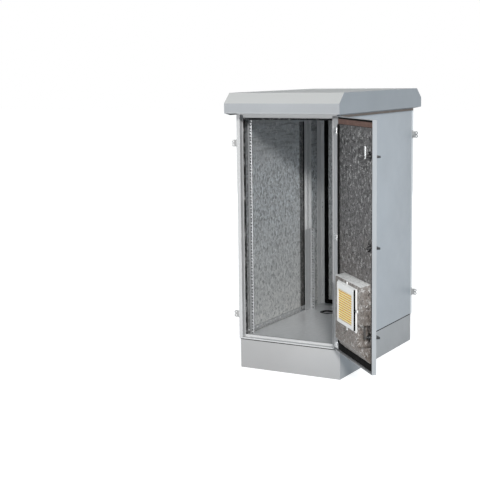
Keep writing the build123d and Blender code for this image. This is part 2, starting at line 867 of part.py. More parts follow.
# Stiffener: a channel along the hinge side of the door, level with the linings
stiffener_start = door_start + door_ring
stiffener_end = stiffener_start + stiffener_width
stiffener_top = door_sheet + pad_depth
with BuildPart() as door_stiffener:
    with BuildSketch(door_plan(strip_high)):
        channel = [
            (stiffener_start, door_sheet),
            (stiffener_start, stiffener_top),
            (stiffener_end, stiffener_top),
            (stiffener_end, door_sheet),
        ]
        make_face(folded(channel, door_sheet, Side.RIGHT))
    extrude(amount=strip_high - door_bottom - door_ring)
finish(door_stiffener, "door_stiffener")

# Soft seal round the door's lining, the foam strip above it, and the foil-faced lining itself
lining_face = door_face.offset(door_sheet)
ring_width = door_end - door_ring - stiffener_end
with BuildPart() as door_gasket:
    with BuildSketch(lining_face):
        with Locations((stiffener_end, door_bottom + door_ring)):
            Rectangle(ring_width, pad_high - door_bottom - door_ring, align=corner)
        with Locations((pad_start, pad_low)):
            Rectangle(pad_end - pad_start, pad_high - pad_low, align=corner, mode=Mode.SUBTRACT)
    extrude(amount=pad_depth)
finish(door_gasket, "door_gasket")

with BuildPart() as door_top_strip:
    with BuildSketch(lining_face):
        with Locations((stiffener_end, pad_high)):
            Rectangle(ring_width, strip_height, align=corner)
    extrude(amount=pad_depth)
finish(door_top_strip, "door_top_strip")

with BuildPart() as door_liner:
    with BuildSketch(lining_face):
        with Locations((pad_start, pad_low)):
            Rectangle(pad_end - pad_start, pad_high - pad_low, align=corner)
        with Locations(*locks_at):
            Rectangle(lock_room, lock_room, mode=Mode.SUBTRACT)
        with BuildLine():
            Polyline(*box_outline, close=True)
        make_face(mode=Mode.SUBTRACT)
    extrude(amount=pad_depth)
finish(door_liner, "door_liner")

# Filter box: an open-backed box over the vent slot, with a window for the filter and a notch in
# its latch side that leaves the lowest lock free
window_u = door_start + base_hinge_side + cover_inset + window_inset + window_width / 2
base_u = door_start + base_hinge_side + base_width / 2
base_low = box_high - base_drop - base_height
base_z = base_low + base_height / 2
cover_u = door_start + base_hinge_side + cover_inset + cover_width / 2
cover_z = base_low + cover_rise + cover_height / 2
window_z = base_low + cover_rise + window_rise + window_height / 2
with BuildPart() as filter_box:
    with BuildSketch(lining_face):
        with BuildLine():
            Polyline(*box_outline, close=True)
        make_face()
    extrude(amount=box_depth)
    box_reach = box_front - stiffener_top
    for edge_place, slope in ((0, box_bottom_slope), (-1, box_top_slope)):
        box_face = filter_box.faces().sort_by(Axis(door_face.origin, door_face.z_dir))[-1]
        rim_edge = box_face.edges().sort_by(Axis.Z)[edge_place]
        chamfer(rim_edge, length=slope, length2=box_reach, reference=box_face)
    offset(
        amount=-box_sheet,
        openings=filter_box.faces().sort_by(Axis(door_face.origin, door_face.z_dir))[0],
        kind=Kind.INTERSECTION,
    )
    with BuildSketch(door_face.offset(box_front)):
        with Locations((window_u, window_z)):
            Rectangle(window_width, window_height)
    extrude(amount=-box_sheet, mode=Mode.SUBTRACT)
finish(filter_box, "filter_box")

mat_room_width = window_width + 2 * mat_border + joint_gap
mat_room_height = window_height + 2 * mat_border + joint_gap
with BuildPart() as filter_base:
    with BuildSketch(door_face.offset(box_front)):
        with Locations((base_u, base_z)):
            Rectangle(base_width, base_height)
        with Locations((window_u, window_z)):
            Rectangle(mat_room_width, mat_room_height, mode=Mode.SUBTRACT)
    extrude(amount=base_thickness)
    with BuildSketch(door_face.offset(box_front + base_thickness)):
        with Locations((base_u + base_width / 2 - base_rim / 2, base_z)):
            Rectangle(base_rim, base_height)
            Rectangle(base_rim, clip_width + joint_gap, mode=Mode.SUBTRACT)
    extrude(amount=base_rim)
finish(filter_base, "filter_base")

with BuildPart() as filter_mat:
    with BuildSketch(door_face.offset(box_front)):
        with Locations((window_u, window_z)):
            Rectangle(window_width + 2 * mat_border, window_height + 2 * mat_border)
    extrude(amount=mat_thickness)
finish(filter_mat, "filter_mat")

# Filter cover: a moulded frame with slanted slats across its window
cover_back = box_front + base_thickness
cover_front = cover_back + cover_thickness
mat_front = box_front + mat_thickness + soft_gap
slat_pitch = window_height / slats
with BuildPart() as filter_grille:
    with BuildSketch(door_face.offset(cover_back)):
        with Locations((cover_u, cover_z)):
            Rectangle(cover_width, cover_height)
    extrude(amount=cover_thickness)
    outer_rim = filter_grille.faces().sort_by(Axis(door_face.origin, door_face.z_dir))[-1]
    chamfer(outer_rim.edges(), length=2 * panel_sheet)
    with BuildSketch(door_face.offset(cover_back)):
        with Locations((window_u, window_z)):
            Rectangle(window_width, window_height)
    extrude(amount=cover_thickness, mode=Mode.SUBTRACT)
    with BuildSketch(door_face.offset(cover_back)):
        with Locations((window_u, window_z)):
            Rectangle(mat_room_width, mat_room_height)
    extrude(amount=mat_front - cover_back, mode=Mode.SUBTRACT)
    with BuildSketch(door_side(window_u - window_width / 2 - soft_gap)):
        with Locations(((mat_front + cover_front) / 2, window_z)):
            with GridLocations(0, slat_pitch, 1, slats):
                Rectangle(slat_length, slat_thickness, rotation=slat_tilt)
    extrude(amount=-window_width - 2 * soft_gap)
finish(filter_grille, "filter_grille")

# Clips that hold the filter base at its top, bottom and latch edges
clip_spots = [
    (base_u, base_z + base_height / 2, 0),
    (base_u, base_z - base_height / 2, 180),
    (base_u + base_width / 2, base_z, -90),
]
with BuildPart() as filter_clips:
    for u, z, turn in clip_spots:
        spot = Location((u, z, 0), (0, 0, turn))
        with BuildSketch(door_face.offset(cover_back)):
            with Locations(spot):
                with Locations((0, clip_length / 2 - clip_grip)):
                    Rectangle(clip_width, clip_length)
        extrude(amount=clip_thickness)
        with BuildSketch(door_face.offset(box_front)):
            with Locations(spot):
                with Locations((0, (clip_length - clip_grip) / 2 + soft_gap)):
                    Rectangle(clip_width, clip_length - clip_grip - 2 * soft_gap)
        extrude(amount=base_thickness)
finish(filter_clips, "filter_clips")

# Vent sill: a folded strip that slopes up behind the vent slot and turns rain back out
with BuildPart() as vent_sill:
    with BuildSketch(door_side(vent_u - vent_width / 2)):
        sill_path = [
            (door_sheet, vent_low - vent_setback),
            (door_sheet, vent_low),
            (door_sheet + vent_reach, vent_low + vent_rise),
        ]
        make_face(folded(sill_path, box_sheet, Side.RIGHT))
    extrude(amount=-vent_width)
finish(vent_sill, "vent_sill")

# Locks: a fixed barrel with its flange and nut, and a wing outside that turns a cam inside
spindle_bore = lock_spindle + 2 * running_gap
with BuildPart() as lock_housings:
    with BuildSketch(door_face.offset(-lock_flange_thickness)):
        with Locations(*locks_at):
            RegularPolygon(lock_flange / 2, round_sides)
    extrude(amount=lock_flange_thickness)
    with BuildSketch(door_face):
        with Locations(*locks_at):
            RegularPolygon(lock_barrel / 2, round_sides)
    extrude(amount=lock_barrel_length)
    with BuildSketch(lining_face):
        with Locations(*locks_at):
            RegularPolygon(lock_nut / 2, 6)
    extrude(amount=lock_nut_thickness)
    with BuildSketch(door_face.offset(-lock_flange_thickness)):
        with Locations(*locks_at):
            Circle(spindle_bore / 2)
    extrude(amount=lock_flange_thickness + lock_barrel_length, mode=Mode.SUBTRACT)
finish(lock_housings, "lock_housings")

disc_back = -lock_flange_thickness - knuckle_gap
disc_front = disc_back - wing_disc_thickness
for name, level in zip(("bottom", "middle", "top"), lock_levels):
    with BuildPart() as lock_wing:
        with BuildSketch(door_face.offset(disc_front)):
            with Locations((lock_u, level)):
                RegularPolygon(wing_disc / 2, round_sides)
        extrude(amount=disc_back - disc_front)
        with BuildSketch(door_face.offset(disc_front)):
            with Locations((lock_u, level)):
                Rectangle(wing_length, wing_width)
        extrude(amount=wing_disc_thickness - wing_height)
        with BuildSketch(door_face.offset(disc_back)):
            with Locations((lock_u, level)):
                Circle(lock_spindle / 2)
        extrude(amount=cam_depth - disc_back)
        with BuildSketch(door_face.offset(cam_depth)):
            with Locations((lock_u, level)):
                RegularPolygon(cam_stud / 2, small_sides)
        extrude(amount=2 * cam_thickness)
    finish(lock_wing, f"lock_wing_{name}")

    with BuildPart() as lock_cam:
        with BuildSketch(door_face.offset(cam_depth)):
            with Locations((lock_u, level + cam_reach / 2)):
                SlotOverall(cam_reach + cam_width, cam_width, rotation=90)
            with Locations((lock_u, level + cam_reach + cam_width / 2)):
                Rectangle(cam_width, cam_width, mode=Mode.SUBTRACT)
            with Locations((lock_u, level)):
                RegularPolygon(cam_stud / 2, small_sides, mode=Mode.SUBTRACT)
        extrude(amount=cam_thickness)
    finish(lock_cam, f"lock_cam_{name}")

# Hinges: the lower knuckle is fixed to the post by a leaf in the door gap, the upper knuckle to
# the inside of the door's edge, and the pin is pressed into the lower one
half_hinge = hinge_height / 2
with BuildPart() as hinge_post_halves:
    for level in hinge_levels:
        with BuildSketch(Plane.XY.offset(level - half_hinge)):
            with Locations((hinge_x, front_y)):
                RegularPolygon(knuckle / 2, round_sides)
            with Locations((opening_x - post_leaf, front_y)):
                Rectangle(post_leaf, leaf_depth, align=corner)
            with Locations((hinge_x, front_y)):
                Circle(pin / 2, mode=Mode.SUBTRACT)
        extrude(amount=half_hinge - knuckle_gap / 2)
finish(hinge_post_halves, "hinge_post_halves")

with BuildPart() as hinge_pins:
    for level in hinge_levels:
        with BuildSketch(Plane.XY.offset(level - half_hinge)):
            with Locations((hinge_x, front_y)):
                Circle(pin / 2)
        extrude(amount=hinge_height)
finish(hinge_pins, "hinge_pins")

with BuildPart() as hinge_door_halves:
    for level in hinge_levels:
        with BuildSketch(door_plan(level + knuckle_gap / 2)):
            RegularPolygon(knuckle / 2, round_sides)
            with Locations((door_start + door_sheet, 0)):
                Rectangle(hinge_leaf, leaf_depth, align=corner)
            Circle(pin / 2 + running_gap, mode=Mode.SUBTRACT)
        extrude(amount=-half_hinge + knuckle_gap / 2)
finish(hinge_door_halves, "hinge_door_halves")
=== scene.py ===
import math

import bmesh
import bpy
from mathutils import Matrix, Vector, noise


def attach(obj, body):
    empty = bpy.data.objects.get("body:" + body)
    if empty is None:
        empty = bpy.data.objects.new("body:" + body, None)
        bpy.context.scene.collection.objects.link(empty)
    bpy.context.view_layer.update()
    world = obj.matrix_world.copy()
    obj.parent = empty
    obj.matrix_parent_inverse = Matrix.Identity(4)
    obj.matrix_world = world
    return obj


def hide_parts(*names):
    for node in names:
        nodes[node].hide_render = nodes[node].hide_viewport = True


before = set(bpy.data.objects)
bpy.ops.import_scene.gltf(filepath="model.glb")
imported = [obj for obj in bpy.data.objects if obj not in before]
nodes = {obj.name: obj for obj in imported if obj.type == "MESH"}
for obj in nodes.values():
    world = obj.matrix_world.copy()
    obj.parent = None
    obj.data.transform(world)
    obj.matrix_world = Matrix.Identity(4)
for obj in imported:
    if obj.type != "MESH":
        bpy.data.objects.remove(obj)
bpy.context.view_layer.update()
scene = bpy.context.scene
print("frame loaded:", len(nodes), "nodes")


# camera

camera = {
    "place": (2.4891, -5.2513, 1.4752),
    "turn": 29.9034,       # degrees round the cabinet, from straight in front
    "height": 8.5544,      # degrees above the horizon
    "roll": -0.837,
    "lens": 85.05,
    "sensor": 36.0,
    "reach": 60.0,         # how far it sees
}


def makeCamera(c):
    turn, height, roll = (math.radians(c[k]) for k in ("turn", "height", "roll"))
    level = math.cos(height)
    back = Vector((math.sin(turn) * level, -math.cos(turn) * level, math.sin(height)))
    right = (-back).cross(Vector((0, 0, 1))).normalized()
    up = right.cross(-back)
    tilted = math.cos(roll) * right + math.sin(roll) * up
    upright = math.cos(roll) * up - math.sin(roll) * right
    data = bpy.data.cameras.new("photoCamera")
    data.lens = c["lens"]
    data.sensor_width = c["sensor"]
    data.clip_end = c["reach"]
    view = bpy.data.objects.new("photoCamera", data)
    scene.collection.objects.link(view)
    axes = Matrix((tilted, upright, back)).transposed().to_4x4()
    view.matrix_world = Matrix.Translation(c["place"]) @ axes
    scene.camera = view


makeCamera(camera)
print("camera set")


# shader helpers

def link(tree, a, b):
    tree.links.new(a, b)


def addMath(tree, operation, a, b=None, clamp=False):
    node = tree.nodes.new("ShaderNodeMath")
    node.operation = operation
    node.use_clamp = clamp
    for socket, value in zip(node.inputs, (a, b)):
        if value is None:
            continue
        if isinstance(value, (int, float)):
            socket.default_value = value
        else:
            link(tree, value, socket)
    return node.outputs[0]


def addNoise(tree, vector, scale, detail=4.0, rough=0.55, distortion=0.0):
    node = tree.nodes.new("ShaderNodeTexNoise")
    node.inputs["Detail"].default_value = detail
    node.inputs["Roughness"].default_value = rough
    node.inputs["Distortion"].default_value = distortion
    link(tree, vector, node.inputs["Vector"])
    if isinstance(scale, (int, float)):
        node.inputs["Scale"].default_value = scale
    else:
        link(tree, scale, node.inputs["Scale"])
    return node.outputs["Fac"]


def addRange(tree, value, low, high, toLow=0.0, toHigh=1.0):
    node = tree.nodes.new("ShaderNodeMapRange")
    node.inputs["From Min"].default_value = low
    node.inputs["From Max"].default_value = high
    node.inputs["To Min"].default_value = toLow
    node.inputs["To Max"].default_value = toHigh
    link(tree, value, node.inputs["Value"])
    return node.outputs["Result"]


def addMix(tree, factor, a, b):
    node = tree.nodes.new("ShaderNodeMix")
    node.data_type = "RGBA"
    for socket, value in ((node.inputs[0], factor), (node.inputs[6], a), (node.inputs[7], b)):
        link(tree, value, socket)
    return node.outputs[2]


def addBump(tree, height, strength, distance):
    node = tree.nodes.new("ShaderNodeBump")
    node.inputs["Distance"].default_value = distance
    if isinstance(strength, (int, float)):
        node.inputs["Strength"].default_value = strength
    else:
        link(tree, strength, node.inputs["Strength"])
    link(tree, height, node.inputs["Height"])
    return node.outputs["Normal"]


# floor, world and lamps

room = {
    "floorSize": 60.0,
    "floorDrop": 0.0005,        # keeps the floor just below the plinth
    "floorColor": (0.50, 0.50, 0.50),
    "floorLift": 0.80,          # what the camera sees on top of the lit floor
    "ambient": 0.22,
    "ambientColor": (0.76, 0.90, 1.0),
}

lamps = [
    # name, kind, place, aim, size (for the sun its angle in radians), power, color,
    # whether it shows as a shine in glossy faces
    ("keyLamp", "SUN", (4.72, -7.92, 4.57), (0, 0, 0.7), 0.14, 2.28, (1.0, 0.99, 0.97), True),
    ("insideLamp", "AREA", (-1.3, -4.6, 0.9), (0.15, 0.3, 0.6), 0.8, 84, (1.0, 1.0, 1.0), True),
    ("sideLamp", "AREA", (5.2, -1.3, 1.4), (0.2, 0, 0.7), 2.0, 80, (0.72, 0.88, 1.0), True),
    ("rearLamp", "AREA", (-3.6, 6.4, 2.6), (0, 0, 0.7), 2.4, 260, (0.95, 0.98, 1.0), False),
]


def seenByView(tree):
    # 1 for the camera, mirrors and glass, and 0 for light that reaches everything else
    path = tree.nodes.new("ShaderNodeLightPath").outputs
    seen = addMath(tree, "MAXIMUM", path["Is Camera Ray"], path["Is Glossy Ray"])
    return addMath(tree, "MAXIMUM", seen, path["Is Transmission Ray"])


def makeWorld(r):
    world = bpy.data.worlds.new("studio")
    scene.world = world
    world.use_nodes = True
    tree = world.node_tree
    tree.nodes.clear()
    out = tree.nodes.new("ShaderNodeOutputWorld")
    mix = tree.nodes.new("ShaderNodeMixShader")
    light = tree.nodes.new("ShaderNodeBackground")
    light.inputs["Color"].default_value = (*r["ambientColor"], 1)
    light.inputs["Strength"].default_value = r["ambient"]
    white = tree.nodes.new("ShaderNodeBackground")
    white.inputs["Color"].default_value = (1, 1, 1, 1)
    white.inputs["Strength"].default_value = 1.0
    link(tree, seenByView(tree), mix.inputs[0])
    link(tree, light.outputs[0], mix.inputs[1])
    link(tree, white.outputs[0], mix.inputs[2])
    link(tree, mix.outputs[0], out.inputs["Surface"])


def makeFloor(r):
    bm = bmesh.new()
    bmesh.ops.create_grid(bm, x_segments=1, y_segments=1, size=r["floorSize"] / 2)
    mesh = bpy.data.meshes.new("studioFloor")
    bm.to_mesh(mesh)
    bm.free()
    floor = bpy.data.objects.new("studioFloor", mesh)
    scene.collection.objects.link(floor)
    floor.location.z = -r["floorDrop"]
    mat = bpy.data.materials.new("studioPaper")
    mat.use_nodes = True
    tree = mat.node_tree
    tree.nodes.clear()
    out = tree.nodes.new("ShaderNodeOutputMaterial")
    paper = tree.nodes.new("ShaderNodeBsdfDiffuse")
    paper.inputs["Color"].default_value = (*r["floorColor"], 1)
    glow = tree.nodes.new("ShaderNodeEmission")
    lift = addMath(tree, "MULTIPLY", seenByView(tree), r["floorLift"])
    both = tree.nodes.new("ShaderNodeAddShader")
    link(tree, lift, glow.inputs["Strength"])
    link(tree, paper.outputs[0], both.inputs[0])
    link(tree, glow.outputs[0], both.inputs[1])
    link(tree, both.outputs[0], out.inputs["Surface"])
    mesh.materials.append(mat)


def makeLamps(rows):
    for name, kind, place, aim, size, power, color, shines in rows:
        data = bpy.data.lights.new(name, kind)
        if kind == "SUN":
            data.angle = size
        else:
            data.shape = "DISK"
            data.size = size
        data.energy = power
        data.color = color
        lamp = bpy.data.objects.new(name, data)
        scene.collection.objects.link(lamp)
        lamp.location = place
        lamp.visible_glossy = shines
        sight = Vector(aim) - Vector(place)
        lamp.rotation_euler = sight.to_track_quat("-Z", "Y").to_euler()


scene.view_settings.view_transform = "Standard"
makeWorld(room)
makeFloor(room)
makeLamps(lamps)
print("floor, world and lamps set")


# shared shader effects

effectOutputs = [
    ("Color", "NodeSocketColor"),
    ("Roughness", "NodeSocketFloat"),
    ("Normal", "NodeSocketVector"),
]


def newGroup(name, inputs):
    group = bpy.data.node_groups.new(name, "ShaderNodeTree")
    for label, kind, value in inputs:
        socket = group.interface.new_socket(name=label, in_out="INPUT", socket_type=kind)
        if value is not None:
            socket.default_value = value
    for label, kind in effectOutputs:
        group.interface.new_socket(name=label, in_out="OUTPUT", socket_type=kind)
    return group, group.nodes.new("NodeGroupInput"), group.nodes.new("NodeGroupOutput")


def addPaintedTopLight(group, into):
    # painted light on the top: how far a face looks up, times the amount asked for
    surface = group.nodes.new("ShaderNodeSeparateXYZ")
    link(group, into.outputs["Surface"], surface.inputs[0])
    upward = addRange(group, surface.outputs["Z"], 0.15, 0.5)
    return addMath(group, "MULTIPLY", upward, into.outputs["Painted Top Light Amount"], True)


def makePowderCoat():
    # satin powder coat: fine orange peel, slow shade changes, a little dust low down and
    # painted light on faces that look up
    group, into, out = newGroup(
        "powderCoat",
        [
            ("Vector", "NodeSocketVector", None),
            ("Paint", "NodeSocketColor", (0.6, 0.6, 0.6, 1)),
            ("Dust", "NodeSocketColor", (0.5, 0.48, 0.44, 1)),
            ("Dust Amount", "NodeSocketFloat", 0.3),
            ("Peel", "NodeSocketFloat", 0.2),               # depth of the orange peel
            ("Gloss", "NodeSocketFloat", 0.4),
            ("Surface", "NodeSocketVector", None),
            ("Painted Top Light", "NodeSocketColor", (0.6, 0.6, 0.6, 1)),
            ("Painted Top Light Amount", "NodeSocketFloat", 0.0),
        ],
    )
    spot = into.outputs["Vector"]
    slow = addNoise(group, spot, 3.2, 3)
    fine = addNoise(group, spot, 900.0, 2)
    split = group.nodes.new("ShaderNodeSeparateXYZ")
    link(group, spot, split.inputs[0])
    low = addRange(group, split.outputs["Z"], 0.0, 0.42, 1.0, 0.12)     # most dust near the ground
    specks = addRange(group, addNoise(group, spot, 46.0, 6, 0.7), 0.48, 0.74)
    specks = addMath(group, "MULTIPLY", specks, low)
    dust = addMath(group, "MULTIPLY", specks, into.outputs["Dust Amount"], True)
    shade = group.nodes.new("ShaderNodeHueSaturation")
    link(group, into.outputs["Paint"], shade.inputs["Color"])
    link(group, addRange(group, slow, 0.3, 0.7, 0.955, 1.04), shade.inputs["Value"])
    color = addMix(group, dust, shade.outputs["Color"], into.outputs["Dust"])
    # painted light: faces that look up take the lighter top colour
    color = addMix(group, addPaintedTopLight(group, into), color, into.outputs["Painted Top Light"])
    link(group, color, out.inputs["Color"])
    wander = addRange(group, addNoise(group, spot, 14.0, 5), 0.3, 0.7, -0.05, 0.06)
    rough = addMath(group, "ADD", into.outputs["Gloss"], wander)
    rough = addMath(group, "ADD", rough, addMath(group, "MULTIPLY", dust, 0.3))
    link(group, rough, out.inputs["Roughness"])
    link(group, addBump(group, fine, into.outputs["Peel"], 0.0004), out.inputs["Normal"])
    return group


def makeSpangle():
    # galvanised sheet: grey crystals of different shades, with a rolled grain
    group, into, out = newGroup(
        "zincSpangle",
        [
            ("Vector", "NodeSocketVector", None),
            ("Light", "NodeSocketColor", (0.7, 0.72, 0.73, 1)),
            ("Dark", "NodeSocketColor", (0.45, 0.47, 0.48, 1)),
            ("Cell Scale", "NodeSocketFloat", 120.0),
            ("Gloss", "NodeSocketFloat", 0.4),
        ],
    )
    spot = into.outputs["Vector"]
    cells = group.nodes.new("ShaderNodeTexVoronoi")
    link(group, spot, cells.inputs["Vector"])
    link(group, into.outputs["Cell Scale"], cells.inputs["Scale"])
    split = group.nodes.new("ShaderNodeSeparateColor")
    link(group, cells.outputs["Color"], split.inputs[0])
    cloud = addNoise(group, spot, 9.0, 4)
    crystal = addMath(group, "MULTIPLY", split.outputs[0], 0.55)
    fac = addMath(group, "ADD", crystal, addMath(group, "MULTIPLY", cloud, 0.5), True)
    color = addMix(group, fac, into.outputs["Dark"], into.outputs["Light"])
    link(group, color, out.inputs["Color"])
    wander = addRange(group, split.outputs[1], 0, 1, -0.08, 0.1)
    link(group, addMath(group, "ADD", into.outputs["Gloss"], wander), out.inputs["Roughness"])
    link(group, addBump(group, addNoise(group, spot, 420.0, 3), 0.12, 0.0004), out.inputs["Normal"])
    return group


def makeFoil():
    # thin foil over soft foam: slanted folds high up, fine crinkles below, painted shade on both,
    # painted highlights along the crease lines, another tone low down and painted light on a ledge
    # that looks up
    group, into, out = newGroup(
        "crushedFoil",
        [
            ("Vector", "NodeSocketVector", None),
            ("Surface", "NodeSocketVector", None),
            ("Foil", "NodeSocketColor", (0.6, 0.62, 0.64, 1)),
            ("Shade", "NodeSocketColor", (0.3, 0.3, 0.31, 1)),
            ("Crease Scale", "NodeSocketFloat", 60.0),
            ("Crush", "NodeSocketFloat", 0.8),              # depth of the creases
            ("Gloss", "NodeSocketFloat", 0.3),
            ("Fold Level", "NodeSocketFloat", 1.05),        # height where the slanted folds begin
            ("Fold Shade", "NodeSocketFloat", 0.5),         # how dark the painted shade on them is
            ("Painted Glint", "NodeSocketFloat", 0.5),              # strength of the painted highlights along the crease lines
            ("Warmth", "NodeSocketColor", (0.3, 0.27, 0.24, 1)),
            ("Painted Top Light", "NodeSocketColor", (0.9, 0.9, 0.9, 1)),
            ("Painted Top Light Amount", "NodeSocketFloat", 0.0),
        ],
    )
    spot = into.outputs["Vector"]
    split = group.nodes.new("ShaderNodeSeparateXYZ")
    link(group, spot, split.inputs[0])
    wander = addRange(group, addNoise(group, spot, 5.0, 4), 0.3, 0.7, -0.045, 0.045)
    level = addMath(group, "ADD", split.outputs["Z"], wander)
    above = addMath(group, "SUBTRACT", level, into.outputs["Fold Level"])
    high = addRange(group, above, -0.05, 0.06)

    def placed(turn, scale):
        node = group.nodes.new("ShaderNodeMapping")
        node.inputs["Rotation"].default_value = turn
        node.inputs["Scale"].default_value = scale
        link(group, spot, node.inputs["Vector"])
        return node.outputs["Vector"]

    slanted = addNoise(group, placed((-0.2, 0, 0), (1.0, 0.26, 1.6)), 30.0, 6, 0.66, 0.7)
    turned = placed((0.2, 0.2, 0), (1.1, 1.1, 0.8))
    crinkle = addNoise(group, turned, into.outputs["Crease Scale"], 6, 0.66, 0.9)
    fold = group.nodes.new("ShaderNodeMix")
    link(group, addMath(group, "MULTIPLY", high, 0.75), fold.inputs[0])
    link(group, crinkle, fold.inputs[2])
    link(group, slanted, fold.inputs[3])
    ridge = addMath(group, "ABSOLUTE", addMath(group, "SUBTRACT", fold.outputs[0], 0.5))
    # painted highlights: near-white along the crease lines, in patches
    line = addRange(group, ridge, 0.01, 0.045, 1.0, 0.0)
    patch = addRange(group, addNoise(group, spot, 58.0, 5, 0.7), 0.50, 0.62)
    paintedGlint = addMath(group, "MULTIPLY", line, patch)
    paintedGlint = addMath(group, "MULTIPLY", paintedGlint, into.outputs["Painted Glint"], True)
    height = addMath(group, "ADD", fold.outputs[0], addMath(group, "MULTIPLY", ridge, 1.6))
    link(group, addBump(group, height, into.outputs["Crush"], 0.006), out.inputs["Normal"])
    # painted shade: the crinkles' darker facets take the Shade colour
    tone = addRange(group, fold.outputs[0], 0.38, 0.62)
    color = addMix(group, tone, into.outputs["Shade"], into.outputs["Foil"])
    # painted shade: the slanted folds high up are darkened towards the Shade colour
    folded = addMath(group, "MULTIPLY", high, into.outputs["Fold Shade"])
    color = addMix(group, folded, color, into.outputs["Shade"])
    # another tone low down, mixed in by the crinkles
    low = addRange(group, level, 0.2, 0.8, 0.8, 0.0)
    blotch = addRange(group, crinkle, 0.4, 0.6, 0.3, 1.0)
    lowTone = addMath(group, "MULTIPLY", low, blotch, True)
    color = addMix(group, lowTone, color, into.outputs["Warmth"])
    # painted light: faces that look up, on the ledge only, take the lighter top colour
    paintedTopLight = addPaintedTopLight(group, into)
    tint = addMath(group, "MULTIPLY", paintedTopLight, addRange(group, tone, 0.2, 0.5, 0.72, 1.0))
    ledge = addRange(group, split.outputs["Z"], 0.42, 0.45)     # leaves out what lies below it
    tint = addMath(group, "MULTIPLY", tint, ledge)
    color = addMix(group, tint, color, into.outputs["Painted Top Light"])
    # the colour of the painted highlights
    glintWhite = group.nodes.new("ShaderNodeRGB")
    glintWhite.outputs[0].default_value = (0.93, 0.93, 0.92, 1)
    link(group, addMix(group, paintedGlint, color, glintWhite.outputs[0]), out.inputs["Color"])
    dull = addRange(group, crinkle, 0.3, 0.7, -0.06, 0.12)
    link(group, addMath(group, "ADD", into.outputs["Gloss"], dull), out.inputs["Roughness"])
    return group


def makePores():
    # rubber, foam and fleece: a broken surface of small open cells with lighter specks
    group, into, out = newGroup(
        "openPores",
        [
            ("Vector", "NodeSocketVector", None),
            ("Body", "NodeSocketColor", (0.02, 0.02, 0.02, 1)),
            ("Speck", "NodeSocketColor", (0.2, 0.2, 0.2, 1)),
            ("Pore Scale", "NodeSocketFloat", 300.0),
            ("Speck Share", "NodeSocketFloat", 0.3),
            ("Depth", "NodeSocketFloat", 0.5),
        ],
    )
    spot = into.outputs["Vector"]
    pores = group.nodes.new("ShaderNodeTexVoronoi")
    link(group, spot, pores.inputs["Vector"])
    link(group, into.outputs["Pore Scale"], pores.inputs["Scale"])
    grain = addNoise(group, spot, into.outputs["Pore Scale"], 4, 0.65)
    patches = addNoise(group, spot, 30.0, 3)
    speck = addRange(group, addMath(group, "MULTIPLY", grain, patches), 0.26, 0.36)
    fac = addMath(group, "MULTIPLY", speck, into.outputs["Speck Share"], True)
    color = addMix(group, fac, into.outputs["Body"], into.outputs["Speck"])
    link(group, color, out.inputs["Color"])
    link(group, addRange(group, grain, 0.3, 0.7, 0.72, 0.95), out.inputs["Roughness"])
    height = addMath(group, "ADD", pores.outputs["Distance"], grain)
    link(group, addBump(group, height, into.outputs["Depth"], 0.0012), out.inputs["Normal"])
    return group


def makeSlatShadowFleece():
    # filter fleece with painted shadows of the slats in front of it: yellow fleece with orange
    # painted shade stripes at the slat pitch
    group, into, out = newGroup(
        "fleeceSlatShadows",
        [
            ("Vector", "NodeSocketVector", None),
            ("Fleece Color", "NodeSocketColor", (0.9, 0.7, 0.3, 1)),
            ("Slat Shadow", "NodeSocketColor", (0.8, 0.3, 0.1, 1)),
            ("Pitch", "NodeSocketFloat", 0.016),
            ("Start", "NodeSocketFloat", 0.0),
        ],
    )
    spot = into.outputs["Vector"]
    split = group.nodes.new("ShaderNodeSeparateXYZ")
    link(group, spot, split.inputs[0])
    rise = addMath(group, "SUBTRACT", split.outputs["Z"], into.outputs["Start"])
    phase = addMath(group, "FRACT", addMath(group, "DIVIDE", rise, into.outputs["Pitch"]))
    middle = addMath(group, "ABSOLUTE", addMath(group, "SUBTRACT", phase, 0.5))
    fibre = addNoise(group, spot, 420.0, 5, 0.7)
    slatShadow = addRange(group, middle, 0.34, 0.43)        # 0 on the lit fleece and 1 in a painted slat shadow
    color = addMix(group, slatShadow, into.outputs["Fleece Color"], into.outputs["Slat Shadow"])
    shade = group.nodes.new("ShaderNodeHueSaturation")
    link(group, color, shade.inputs["Color"])
    link(group, addRange(group, fibre, 0.3, 0.7, 0.86, 1.1), shade.inputs["Value"])
    link(group, shade.outputs["Color"], out.inputs["Color"])
    link(group, addRange(group, fibre, 0.3, 0.7, 0.8, 0.98), out.inputs["Roughness"])
    height = addMath(group, "SUBTRACT", addMath(group, "MULTIPLY", fibre, 0.3), slatShadow)
    link(group, addBump(group, height, 0.5, 0.003), out.inputs["Normal"])
    return group


effects = {
    "fleeceSlatShadows": makeSlatShadowFleece(),
    "powderCoat": makePowderCoat(),
    "zincSpangle": makeSpangle(),
    "crushedFoil": makeFoil(),
    "openPores": makePores(),
}
print("shader effects built")


# materials

def makeMaterial(name, effect, metallic, specular, values):
    mat = bpy.data.materials.new(name)
    mat.use_nodes = True
    tree = mat.node_tree
    tree.nodes.clear()
    out = tree.nodes.new("ShaderNodeOutputMaterial")
    shader = tree.nodes.new("ShaderNodeBsdfPrincipled")
    shader.inputs["Metallic"].default_value = metallic
    shader.inputs["Specular IOR Level"].default_value = specular
    where = tree.nodes.new("ShaderNodeTexCoord")
    group = tree.nodes.new("ShaderNodeGroup")
    group.node_tree = effects[effect]
    link(tree, where.outputs["Object"], group.inputs["Vector"])
    if "Surface" in group.inputs:
        link(tree, where.outputs["Normal"], group.inputs["Surface"])
    for label, value in values.items():
        socket = group.inputs[label]
        socket.default_value = (*value, 1) if isinstance(value, tuple) else value
    link(tree, group.outputs["Color"], shader.inputs["Base Color"])
    link(tree, group.outputs["Roughness"], shader.inputs["Roughness"])
    link(tree, group.outputs["Normal"], shader.inputs["Normal"])
    link(tree, shader.outputs[0], out.inputs["Surface"])
    return mat


